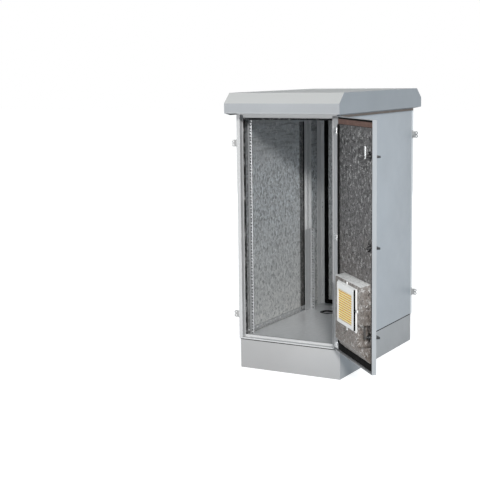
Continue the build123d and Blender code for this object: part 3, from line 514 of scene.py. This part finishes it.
cover = {
    "opening": 0.138,       # height of the filter cover's slatted opening
    "slats": 13,
    "rim": 0.002,           # from the mat's foot to the lowest slat
}

matLow = min(v.co.z for v in nodes["filter_mat"].data.vertices)
slatPitch = cover["opening"] / cover["slats"]

looks = {
    # name: effect, metallic, specular, the effect's values
    # (a Fold Level above the cabinet leaves the slanted folds out)
    # the hood's top colour is painted light on its faces that look up
    "hoodPaint": ("powderCoat", 0.0, 0.06, {
        "Paint": (0.36, 0.372, 0.388), "Dust": (0.36, 0.35, 0.34), "Dust Amount": 0.2,
        "Peel": 0.22, "Gloss": 0.5, "Painted Top Light": (0.56, 0.56, 0.55), "Painted Top Light Amount": 0.9,
    }),
    "bodyPaint": ("powderCoat", 0.0, 0.3, {
        "Paint": (0.505, 0.51, 0.515), "Dust": (0.42, 0.41, 0.38), "Dust Amount": 0.2,
        "Peel": 0.22, "Gloss": 0.44,
    }),
    # the side panels' paint is a darker, bluer copy of the body paint: painted shade and the side
    # light's blue
    "sidePaintShaded": ("powderCoat", 0.0, 0.3, {
        "Paint": (0.435, 0.455, 0.48), "Dust": (0.42, 0.41, 0.38), "Dust Amount": 0.2,
        "Peel": 0.22, "Gloss": 0.44,
    }),
    # the door's paint is a darker copy of the body paint: painted shade
    "doorPaintShaded": ("powderCoat", 0.0, 0.3, {
        "Paint": (0.40, 0.405, 0.415), "Dust": (0.40, 0.39, 0.37), "Dust Amount": 0.15,
        "Peel": 0.22, "Gloss": 0.44,
    }),
    "plinthPaint": ("powderCoat", 0.0, 0.3, {
        "Paint": (0.365, 0.365, 0.37), "Dust": (0.38, 0.37, 0.35), "Dust Amount": 0.3,
        "Peel": 0.26, "Gloss": 0.48,
    }),
    "sheetZinc": ("zincSpangle", 0.35, 0.5, {
        "Light": (0.76, 0.77, 0.78), "Dark": (0.68, 0.69, 0.70), "Cell Scale": 70.0, "Gloss": 0.36,
    }),
    "lugZinc": ("zincSpangle", 0.6, 0.5, {
        "Light": (0.42, 0.42, 0.42), "Dark": (0.30, 0.30, 0.30), "Cell Scale": 200.0, "Gloss": 0.4,
    }),
    # the rear posts' paint is a lighter copy of the body paint: painted light in the dim inside
    "postPaintLit": ("powderCoat", 0.0, 0.3, {
        "Paint": (0.72, 0.73, 0.735), "Dust": (0.42, 0.41, 0.38), "Dust Amount": 0.2,
        "Peel": 0.22, "Gloss": 0.44,
    }),
    # the struts' zinc is a lighter copy of the rail zinc: painted light where they stand in shadow
    "strutZincLit": ("zincSpangle", 0.2, 0.5, {
        "Light": (0.64, 0.65, 0.66), "Dark": (0.56, 0.57, 0.58), "Cell Scale": 120.0, "Gloss": 0.45,
    }),
    "railZinc": ("zincSpangle", 0.35, 0.5, {
        "Light": (0.50, 0.51, 0.52), "Dark": (0.44, 0.45, 0.46), "Cell Scale": 120.0, "Gloss": 0.4,
    }),
    "wallFoil": ("crushedFoil", 0.4, 0.5, {
        "Foil": (0.90, 0.945, 0.98), "Shade": (0.285, 0.297, 0.308), "Warmth": (0.80, 0.79, 0.76),
        "Crease Scale": 62.0, "Crush": 0.65, "Gloss": 0.36,
        "Fold Level": 1.02, "Fold Shade": 0.46, "Painted Glint": 0.66,
    }),
    # the rear lining is a lighter copy of the wall foil: painted light at the back of the inside
    "rearFoilLit": ("crushedFoil", 0.1, 0.5, {
        "Foil": (0.96, 0.97, 0.98), "Shade": (0.40, 0.405, 0.41), "Warmth": (0.60, 0.59, 0.57),
        "Crease Scale": 74.0, "Crush": 0.7, "Gloss": 0.38,
        "Fold Level": 1.12, "Fold Shade": 0.5, "Painted Glint": 0.45,
    }),
    # a very dark copy of the wall foil: painted shade in the gap between the wall pads
    "breakFoilShaded": ("crushedFoil", 0.4, 0.5, {
        "Foil": (0.20, 0.205, 0.21), "Shade": (0.035, 0.035, 0.036), "Warmth": (0.12, 0.11, 0.10),
        "Crease Scale": 80.0, "Crush": 0.8, "Gloss": 0.36,
        "Fold Level": 9.0, "Fold Shade": 0.0, "Painted Glint": 0.5,
    }),
    # the door lining is a darker copy of the wall foil: painted shade
    "doorFoilShaded": ("crushedFoil", 0.5, 0.5, {
        "Foil": (0.17, 0.166, 0.168), "Shade": (0.016, 0.015, 0.015),
        "Warmth": (0.17, 0.135, 0.115), "Crease Scale": 84.0, "Crush": 0.9, "Gloss": 0.3,
        "Fold Level": 0.98, "Fold Shade": 0.12, "Painted Glint": 0.75,
    }),
    # the box's top colour is painted light on its ledge that looks up
    "boxFoil": ("crushedFoil", 0.0, 0.5, {
        "Foil": (0.33, 0.295, 0.27), "Shade": (0.05, 0.040, 0.035), "Warmth": (0.17, 0.14, 0.12),
        "Crease Scale": 80.0, "Crush": 0.9, "Gloss": 0.3,
        "Fold Level": 9.0, "Fold Shade": 0.0, "Painted Glint": 0.8,
        "Painted Top Light": (0.98, 0.98, 0.97), "Painted Top Light Amount": 1.0,
    }),
    "sealRubber": ("openPores", 0.0, 0.2, {
        "Body": (0.012, 0.012, 0.013), "Speck": (0.40, 0.40, 0.40),
        "Pore Scale": 420.0, "Speck Share": 0.75, "Depth": 0.5,
    }),
    "gasketFoam": ("openPores", 0.0, 0.04, {
        "Body": (0.006, 0.006, 0.006), "Speck": (0.05, 0.048, 0.046),
        "Pore Scale": 520.0, "Speck Share": 0.25, "Depth": 0.4,
    }),
    # a brown strip standing in for the hood's shadow on the side panels: painted shadow
    "hoodShadowBrown": ("openPores", 0.0, 0.1, {
        "Body": (0.30, 0.24, 0.205), "Speck": (0.40, 0.33, 0.29),
        "Pore Scale": 420.0, "Speck Share": 0.4, "Depth": 0.4,
    }),
    "stripFoam": ("openPores", 0.0, 0.15, {
        "Body": (0.125, 0.078, 0.066), "Speck": (0.24, 0.15, 0.12),
        "Pore Scale": 380.0, "Speck Share": 0.5, "Depth": 0.5,
    }),
    "whitePlastic": ("powderCoat", 0.0, 0.5, {
        "Paint": (0.84, 0.84, 0.83), "Dust": (0.60, 0.58, 0.54), "Dust Amount": 0.12,
        "Peel": 0.12, "Gloss": 0.38,
    }),
    # the orange stripes are painted shadows of the cover's slats, set to their pitch and start
    "yellowFleece": ("fleeceSlatShadows", 0.0, 0.1, {
        "Fleece Color": (1.0, 0.88, 0.26), "Slat Shadow": (0.70, 0.09, 0.03),
        "Pitch": slatPitch, "Start": matLow + cover["rim"],
    }),
    "blackNylon": ("powderCoat", 0.0, 0.5, {
        "Paint": (0.016, 0.016, 0.017), "Dust": (0.12, 0.12, 0.11), "Dust Amount": 0.2,
        "Peel": 0.2, "Gloss": 0.34,
    }),
    # a dark copy of the cam zinc for the middle and bottom cams: painted shade
    "camSteelShaded": ("zincSpangle", 0.6, 0.5, {
        "Light": (0.15, 0.145, 0.14), "Dark": (0.07, 0.068, 0.066), "Cell Scale": 260.0,
        "Gloss": 0.36,
    }),
    "brightZinc": ("zincSpangle", 0.7, 0.5, {
        "Light": (0.86, 0.87, 0.88), "Dark": (0.72, 0.73, 0.74), "Cell Scale": 240.0, "Gloss": 0.26,
    }),
}

finishes = {name: makeMaterial(name, *look) for name, look in looks.items()}

nodeFinish = {
    "hoodPaint": ["roof_hood"],
    "bodyPaint": ["post_front_left", "post_front_right", "front_head", "front_sill", "rear_panel"],
    "postPaintLit": ["post_rear_left", "post_rear_right", "rear_head"],
    "strutZincLit": ["strut_left", "strut_right"],
    "sidePaintShaded": ["side_panel_left", "side_panel_right"],
    "doorPaintShaded": ["door_pan", "door_stiffener", "vent_sill"],
    "lugZinc": ["lugs_left", "lugs_right"],
    "plinthPaint": ["plinth_front", "plinth_rear", "plinth_left", "plinth_right"],
    "sheetZinc": ["floor_plate", "rear_sill", "roof_deck", "roof_spacers", "plinth_feet"],
    "railZinc": [
        "rail_front_left", "rail_front_right", "rail_rear_left", "rail_rear_right",
        "depth_rail_left_low", "depth_rail_left_high",
        "depth_rail_right_low", "depth_rail_right_high",
    ],
    "wallFoil": ["liner_left", "liner_right"],
    "rearFoilLit": ["rear_liner"],
    "doorFoilShaded": ["door_liner"],
    "boxFoil": ["filter_box"],
    "whitePlastic": ["filter_grille", "filter_clips", "filter_base"],
    "sealRubber": ["frame_seal", "cable_grommet"],
    "gasketFoam": ["rear_gasket", "door_gasket"],
    "stripFoam": ["door_top_strip"],
    "yellowFleece": ["filter_mat"],
    "blackNylon": ["lock_housings", "lock_wing_bottom", "lock_wing_middle", "lock_wing_top"],
    "camSteelShaded": ["lock_cam_bottom", "lock_cam_middle"],
    "brightZinc": [
        "lock_cam_top", "hinge_post_halves", "hinge_pins", "hinge_door_halves", "rear_screws",
    ],
}

for finishName, names in nodeFinish.items():
    for nodeName in names:
        mesh = nodes[nodeName].data
        mesh.materials.clear()
        mesh.materials.append(finishes[finishName])
print("materials assigned")


# working helpers

doorSlant = math.radians(45.6)      # from the x axis down to the open door

doorFrame = {
    "hinge": (0.25675, -0.461),
    "across": (math.cos(doorSlant), -math.sin(doorSlant)),      # towards the latch edge
    "inward": (-math.sin(doorSlant), -math.cos(doorSlant)),     # towards the lining
}


def doorSpot(across, depth, height):
    h, a, n = doorFrame["hinge"], doorFrame["across"], doorFrame["inward"]
    x = h[0] + across * a[0] + depth * n[0]
    y = h[1] + across * a[1] + depth * n[1]
    return Vector((x, y, height))


def turnOf(body):
    # the body's own directions: across, in depth and up
    if body != "door":
        return Matrix.Identity(4)
    a, n = doorFrame["across"], doorFrame["inward"]
    return Matrix(((a[0], n[0], 0), (a[1], n[1], 0), (0, 0, 1))).to_4x4()


def copyOf(node):
    # the merged solid of a CAD node, with its flat faces made whole
    bm = bmesh.new()
    bm.from_mesh(nodes[node].data)
    bmesh.ops.remove_doubles(bm, verts=bm.verts, dist=0.00001)
    bmesh.ops.dissolve_limit(bm, angle_limit=0.01, verts=bm.verts, edges=bm.edges)
    return bm


def roundEdges(bm, width, sharp=0.5):
    # sharp is the angle in radians from which an edge is rounded
    edges = [e for e in bm.edges if len(e.link_faces) == 2 and e.calc_face_angle(0.0) > sharp]
    bmesh.ops.bevel(
        bm, geom=edges, offset=width, offset_type="OFFSET", segments=2, profile=0.5,
        affect="EDGES", clamp_overlap=True, material=-1,
    )


def cutGrid(bm, turn, spacing):
    # slices the solid along its own three directions, so that its faces can be dented
    for axis, step in enumerate(spacing):
        if not step:
            continue
        normal = turn @ Vector([1.0 if i == axis else 0.0 for i in range(3)])
        reach = [v.co.dot(normal) for v in bm.verts]
        low, high = min(reach), max(reach)
        count = max(1, round((high - low) / step))
        for i in range(1, count):
            level = low + (high - low) * i / count
            bmesh.ops.bisect_plane(
                bm, geom=bm.verts[:] + bm.edges[:] + bm.faces[:], dist=1e-6,
                plane_co=normal * level, plane_no=normal,
            )


def softCopy(node, body, radius, spacing):
    # a rounded copy of a CAD node, cut finely enough to be dented
    bm = copyOf(node)
    roundEdges(bm, radius)
    cutGrid(bm, turnOf(body), spacing)
    bmesh.ops.triangulate(bm, faces=[f for f in bm.faces if len(f.verts) > 4])
    bm.normal_update()
    return bm


def finishPiece(bm, name, body, finish, smooth=35.0):
    # smooth is the angle in degrees up to which an edge is shaded smooth
    mesh = bpy.data.meshes.new(name)
    bm.to_mesh(mesh)
    bm.free()
    mesh.shade_smooth()
    mesh.set_sharp_from_angle(angle=math.radians(smooth))
    piece = bpy.data.objects.new(name, mesh)
    scene.collection.objects.link(piece)
    mesh.materials.append(finishes[finish])
    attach(piece, body)
    return piece


# foil-faced pads

pads = {
    # node: body, finish, spacing, dent depth, fill
    "liner_left": ("cabinet", "wallFoil", (0, 0.013, 0.013), 0.0016, 0.9),
    "liner_right": ("cabinet", "wallFoil", (0, 0.016, 0.016), 0.0016, 0.9),
    "rear_liner": ("cabinet", "rearFoilLit", (0.014, 0, 0.014), 0.0018, 0.9),
    "door_liner": ("door", "doorFoilShaded", (0.011, 0, 0.011), 0.0016, 0.9),
}

dents = {
    "edge": 0.0022,             # edge radius of the pads
    "coarseSize": 0.05,
    "coarseWeight": 0.65,
    "fineSize": 0.45,           # as a share of the coarse size
    "fineShift": (7.1, 3.3, 9.7),
    "fineWeight": 0.35,
    "narrow": 3.2,              # more makes narrower folds
    "swellSize": 0.13,
    "swellWeight": 0.35,
}


def crease(spot, d):
    # 0 on smooth foil and up to 1 in a fold
    coarse = abs(noise.noise(spot / d["coarseSize"]))
    fine = abs(noise.noise(spot / (d["coarseSize"] * d["fineSize"]) + Vector(d["fineShift"])))
    coarse, fine = (max(0.0, 1.0 - d["narrow"] * level) for level in (coarse, fine))
    return coarse * d["coarseWeight"] + fine * d["fineWeight"]


def makePads(rows, d):
    for node, (body, finish, spacing, depth, fill) in rows.items():
        bm = softCopy(node, body, d["edge"], spacing)
        for vert in bm.verts:
            slow = 0.5 + 0.5 * noise.noise(vert.co / d["swellSize"])
            dent = crease(vert.co, d) * (0.5 + slow) + d["swellWeight"] * slow
            vert.co -= vert.normal * depth * dent
        piece = finishPiece(bm, node + "_pad", body, finish, smooth=60)
        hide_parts(node)


makePads(pads, dents)
print("foil-faced pads made")


# rubber, foam and fleece

softTrim = {
    # node: body, slot, finish, edge radius, spacing, dent depth
    "frame_seal": ("cabinet", "seal_rubber", "sealRubber", 0.0012, (0.03, 0, 0.03), 0.0004),
    "rear_gasket": ("cabinet", "seal_rubber", "gasketFoam", 0.0016, (0.03, 0, 0.03), 0.0004),
    "door_gasket": ("door", "seal_rubber", "gasketFoam", 0.0016, (0.02, 0, 0.03), 0.0005),
    "door_top_strip": ("door", "strip_foam", "stripFoam", 0.0018, (0.012, 0, 0.012), 0.0007),
    "filter_mat": ("door", "filter_fleece", "yellowFleece", 0.0010, (0.006, 0, 0.006), 0.0012),
}

trimDentSize = 0.012


def makeSoftTrim(rows):
    for node, (body, slotName, finish, radius, spacing, depth) in rows.items():
        bm = softCopy(node, body, radius, spacing)
        for vert in bm.verts:
            dent = 0.5 + 0.5 * noise.noise(vert.co / trimDentSize)
            vert.co -= vert.normal * depth * dent
        piece = finishPiece(bm, node + "_soft", body, finish, smooth=60)
        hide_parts(node)


makeSoftTrim(softTrim)
print("soft trim made")


# foam and seals in the gaps, dark strips of painted shade and shadow, and the hinge leaves, each a
# rounded bar

smallBars = [
    # body, slot, finish, edge radius, soft fill,
    # then each bar's name and its reach along its body's directions: across, in depth and up
    ("door", "seal_rubber", "gasketFoam", 0.0012, 0.95, {
        "hingeFoam": ((0.0668, 0.0818), (0.0018, 0.0190), (0.201, 1.222)),
    }),
    ("door", "bright_zinc", "brightZinc", 0.0016, None, {
        "hingeLeafHigh": ((0.018, 0.060), (0.0152, 0.0192), (1.174, 1.204)),
        "hingeLeafMiddle": ((0.018, 0.060), (0.0152, 0.0192), (0.681, 0.711)),
        "hingeLeafLow": ((0.018, 0.060), (0.0152, 0.0192), (0.171, 0.201)),
    }),
    # a black strip between the filter cover and the base's rim: painted shade in the gap
    ("door", "seal_rubber", "gasketFoam", 0.0006, 0.95, {
        "coverShadeStrip": ((0.4187, 0.4250), (0.0624, 0.0700), (0.3375, 0.5195)),
    }),
    ("door", "seal_rubber", "gasketFoam", 0.0010, 0.95, {
        "topFoam": ((0.0668, 0.5020), (0.0018, 0.0152), (1.2474, 1.2550)),
    }),
    # dark foil pads put in the gap before the struts: painted shade
    ("cabinet", "lining_foil", "breakFoilShaded", 0.0016, 0.9, {
        "shadedBreakPadLeft": ((-0.2745, -0.2670), (0.198, 0.243), (0.165, 1.245)),
        "shadedBreakPadRight": ((0.2670, 0.2745), (0.198, 0.243), (0.165, 1.245)),
    }),
    # black strips behind the struts' holes: painted shade in the channels
    ("cabinet", "lining_foil", "gasketFoam", 0.0004, 0.9, {
        "strutShadeBackLeft": ((-0.2745, -0.2730), (0.2455, 0.3265), (0.165, 1.245)),
        "strutShadeBackRight": ((0.2730, 0.2745), (0.2455, 0.3265), (0.165, 1.245)),
    }),
    # brown strips under the hood's sides: painted shadow of the hood's overhang
    ("cabinet", "seal_rubber", "hoodShadowBrown", 0.0008, 0.9, {
        "hoodShadowStripRight": ((0.2764, 0.2795), (-0.4550, 0.4550), (1.2475, 1.2655)),
        "hoodShadowStripLeft": ((-0.2795, -0.2764), (-0.4550, 0.4550), (1.2475, 1.2655)),
    }),
    # black strips along the plinth's top edge: painted shade under the body's overhang
    ("cabinet", "seal_rubber", "gasketFoam", 0.0006, 0.9, {
        "plinthShadeStripRight": ((0.2705, 0.2730), (-0.4560, 0.4560), (0.1430, 0.1478)),
        "plinthShadeStripLeft": ((-0.2730, -0.2705), (-0.4560, 0.4560), (0.1430, 0.1478)),
        "plinthShadeStripFront": ((-0.2725, 0.2725), (-0.4575, -0.4550), (0.1430, 0.1478)),
        "plinthShadeStripRear": ((-0.2725, 0.2725), (0.4550, 0.4575), (0.1430, 0.1478)),
    }),
]


def makeSmallBars(families):
    for body, slotName, finish, radius, fill, bars in families:
        for name, reach in bars.items():
            bm = bmesh.new()
            made = bmesh.ops.create_cube(bm, size=1.0)
            bmesh.ops.scale(bm, vec=[b - a for a, b in reach], verts=made["verts"])
            middle = Vector([(a + b) / 2 for a, b in reach])
            spot = doorSpot(*middle) if body == "door" else middle
            place = Matrix.Translation(spot) @ turnOf(body)
            bmesh.ops.transform(bm, matrix=place, verts=made["verts"])
            roundEdges(bm, radius)
            bmesh.ops.recalc_face_normals(bm, faces=bm.faces)
            piece = finishPiece(bm, name, body, finish, smooth=50)


makeSmallBars(smallBars)
print("small bars made")


# pressed and moulded pieces with rounded edges

pressed = {
    # node: body, slot, finish, edge radius
    "filter_box": ("door", "box_foil", "boxFoil", 0.0016),
    "filter_base": ("door", "box_foil", "whitePlastic", 0.0008),
    "filter_clips": ("door", "grille_plastic", "whitePlastic", 0.0006),
    "lock_housings": ("door", "lock_black", "blackNylon", 0.0008),
    "lock_wing_bottom": ("lock_bottom", "lock_black", "blackNylon", 0.0012),
    "lock_wing_middle": ("lock_middle", "lock_black", "blackNylon", 0.0012),
    "lock_wing_top": ("lock_top", "lock_black", "blackNylon", 0.0012),
    # the middle and bottom cams take the painted shade copy of the cam zinc
    "lock_cam_bottom": ("lock_bottom", "bright_zinc", "camSteelShaded", 0.0006),
    "lock_cam_middle": ("lock_middle", "bright_zinc", "camSteelShaded", 0.0006),
    "lock_cam_top": ("lock_top", "bright_zinc", "brightZinc", 0.0006),
    "side_panel_left": ("cabinet", "body_paint", "sidePaintShaded", 0.0012),
    "side_panel_right": ("cabinet", "body_paint", "sidePaintShaded", 0.0012),
    "plinth_front": ("cabinet", "plinth_paint", "plinthPaint", 0.0008),
    "plinth_rear": ("cabinet", "plinth_paint", "plinthPaint", 0.0008),
    "plinth_left": ("cabinet", "plinth_paint", "plinthPaint", 0.0008),
    "plinth_right": ("cabinet", "plinth_paint", "plinthPaint", 0.0008),
    "lugs_left": ("cabinet", "body_paint", "lugZinc", 0.0008),
    "lugs_right": ("cabinet", "body_paint", "lugZinc", 0.0008),
    "rear_screws": ("cabinet", "bright_zinc", "brightZinc", 0.0009),
}


def makePressed(rows):
    for node, (body, slotName, finish, radius) in rows.items():
        bm = copyOf(node)
        roundEdges(bm, radius, sharp=0.6)
        piece = finishPiece(bm, node + "_rounded", body, finish, smooth=40)
        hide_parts(node)


makePressed(pressed)
print("rounded pieces made")


# rolled hem under the hood's fascia

hem = {
    "half": 0.3043,
    "front": -0.5292,
    "low": 1.2661,
    "radius": 0.0031,
    "sides": 14,
    "seat": (0.0004, 0.0003),       # how far it sits into the sheet, forwards and down
}


def makeHem(h):
    bm = bmesh.new()
    circle = bmesh.ops.create_circle(bm, cap_ends=True, segments=h["sides"], radius=h["radius"])
    front = h["front"] + h["radius"] - h["seat"][0]
    low = h["low"] + h["radius"] - h["seat"][1]
    place = Matrix.Translation((-h["half"], front, low))
    turn = Matrix.Rotation(math.radians(90), 4, "Y")
    bmesh.ops.transform(bm, matrix=place @ turn, verts=circle["verts"])
    grown = bmesh.ops.extrude_face_region(bm, geom=bm.faces[:])
    moved = [g for g in grown["geom"] if isinstance(g, bmesh.types.BMVert)]
    bmesh.ops.translate(bm, vec=(2 * h["half"], 0, 0), verts=moved)
    bmesh.ops.recalc_face_normals(bm, faces=bm.faces)
    finishPiece(bm, "hoodHem", "cabinet", "hoodPaint")


makeHem(hem)


# rivets on the latch edge and bolts on the rails

head = {
    "taper": 0.72,          # top radius as a share of the lower one
    "sink": 0.0001,         # how far a head sits into its surface
}

latchRivets = {
    "radius": 0.0030,
    "height": 0.0016,
    "sides": 16,
    "across": 0.51075,
    "depth": 0.013,
    "levels": (1.119, 1.132, 0.267, 0.295),
}

railBolts = {
    "radius": 0.0055,
    "height": 0.0035,
    "sides": 6,
    "across": 0.2625,
    "depths": (-0.386, 0.249, 0.294),
    "levels": (0.175, 1.216),
}


def addHead(bm, place, axis, f):
    # a low tapered head that stands on its surface
    made = bmesh.ops.create_cone(
        bm, cap_ends=True, segments=f["sides"], radius1=f["radius"],
        radius2=f["radius"] * head["taper"], depth=f["height"],
    )
    turn = Vector((0, 0, 1)).rotation_difference(Vector(axis)).to_matrix().to_4x4()
    middle = Vector(place) + Vector(axis) * (f["height"] / 2 - head["sink"])
    bmesh.ops.transform(bm, matrix=Matrix.Translation(middle) @ turn, verts=made["verts"])


def makeLatchRivets(f):
    bm = bmesh.new()
    inwards = -Vector((*doorFrame["across"], 0))
    for level in f["levels"]:
        addHead(bm, doorSpot(f["across"], f["depth"], level), inwards, f)
    finishPiece(bm, "latchRivets", "door", "brightZinc")


def makeRailBolts(f):
    bm = bmesh.new()
    for side in (-1, 1):
        for depth in f["depths"]:
            for level in f["levels"]:
                addHead(bm, (side * f["across"], depth, level), (-side, 0, 0), f)
    finishPiece(bm, "railBolts", "cabinet", "brightZinc")


makeLatchRivets(latchRivets)
makeRailBolts(railBolts)
print("hem, rivets and bolts made")
